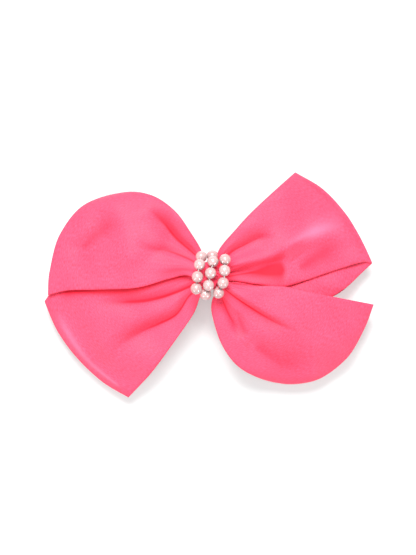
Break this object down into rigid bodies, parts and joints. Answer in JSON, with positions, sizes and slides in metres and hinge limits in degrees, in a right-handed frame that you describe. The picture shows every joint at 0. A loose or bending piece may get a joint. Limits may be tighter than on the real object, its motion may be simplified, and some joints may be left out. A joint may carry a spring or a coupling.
{
  "type": "bow hair barrette",
  "caption": "Pink satin double-loop hair bow with a pearl-strand centre, fixed to a sprung metal snap barrette.",
  "frame": {"origin": "centre of the whole outline, on the surface that the closed clip stands on", "axes": "+X along the clip, from its hinge to its clasp; +Y towards the bow's upper loops; +Z out of the bow's face, away from the hair"},
  "size_m": [0.1144, 0.0784, 0.0274],
  "materials": {
    "satin_ribbon": "matte hot pink polyester satin with a soft sheen",
    "felt": "pink wool felt",
    "pearl": "white pearlescent coating",
    "thread": "clear nylon thread",
    "nickel": "nickel-plated steel, satin",
    "spring_steel": "plain spring steel"
  },
  "bodies": {
    "bow_and_plate": {"front_ribbon": "satin_ribbon", "rear_ribbon": "satin_ribbon", "centre_wrap": "satin_ribbon", "felt_pad": "felt", "clip_plate": "nickel", "hinge_pin": "spring_steel", "clasp_base": "spring_steel", "clasp_rivet": "nickel", "pearl_left_1": "pearl", "pearl_left_2": "pearl", "pearl_left_3": "pearl", "pearl_left_4": "pearl", "pearl_middle_1": "pearl", "pearl_middle_2": "pearl", "pearl_middle_3": "pearl", "pearl_middle_4": "pearl", "pearl_middle_5": "pearl", "pearl_right_1": "pearl", "pearl_right_2": "pearl", "pearl_right_3": "pearl", "pearl_right_4": "pearl", "thread_left": "thread", "thread_middle": "thread", "thread_right": "thread"},
    "arm": {"clip_arm": "nickel"},
    "tension_bar": {"tension_bar": "spring_steel"},
    "front_tab": {"clasp_tab_front": "spring_steel"},
    "rear_tab": {"clasp_tab_rear": "spring_steel"}
  },
  "joints": [
    {"name": "arm_hinge", "type": "hinge", "parent": "bow_and_plate", "child": "arm", "pos_m": [-0.0281, 0.0033, 0.0036], "axis": [0, 1, 0], "range_deg": [0, 95]},
    {"name": "tension_bar_hinge", "type": "hinge", "parent": "bow_and_plate", "child": "tension_bar", "pos_m": [-0.0281, 0.0033, 0.0036], "axis": [0, 1, 0], "range_deg": [0, 20]},
    {"name": "front_tab_squeeze", "type": "hinge", "parent": "bow_and_plate", "child": "front_tab", "pos_m": [0.0289, 0.0004, 0.00876], "axis": [1, 0, 0], "range_deg": [0, 6], "stiffness_Nm_per_rad": 0.02},
    {"name": "rear_tab_squeeze", "type": "hinge", "parent": "bow_and_plate", "child": "rear_tab", "pos_m": [0.0289, 0.0062, 0.00876], "axis": [-1, 0, 0], "range_deg": [0, 6], "stiffness_Nm_per_rad": 0.02}
  ],
  "couplings": [
    {"joint": "tension_bar_hinge", "follows": "arm_hinge", "ratio": 0.2},
    {"joint": "rear_tab_squeeze", "follows": "front_tab_squeeze", "ratio": 1}
  ]
}
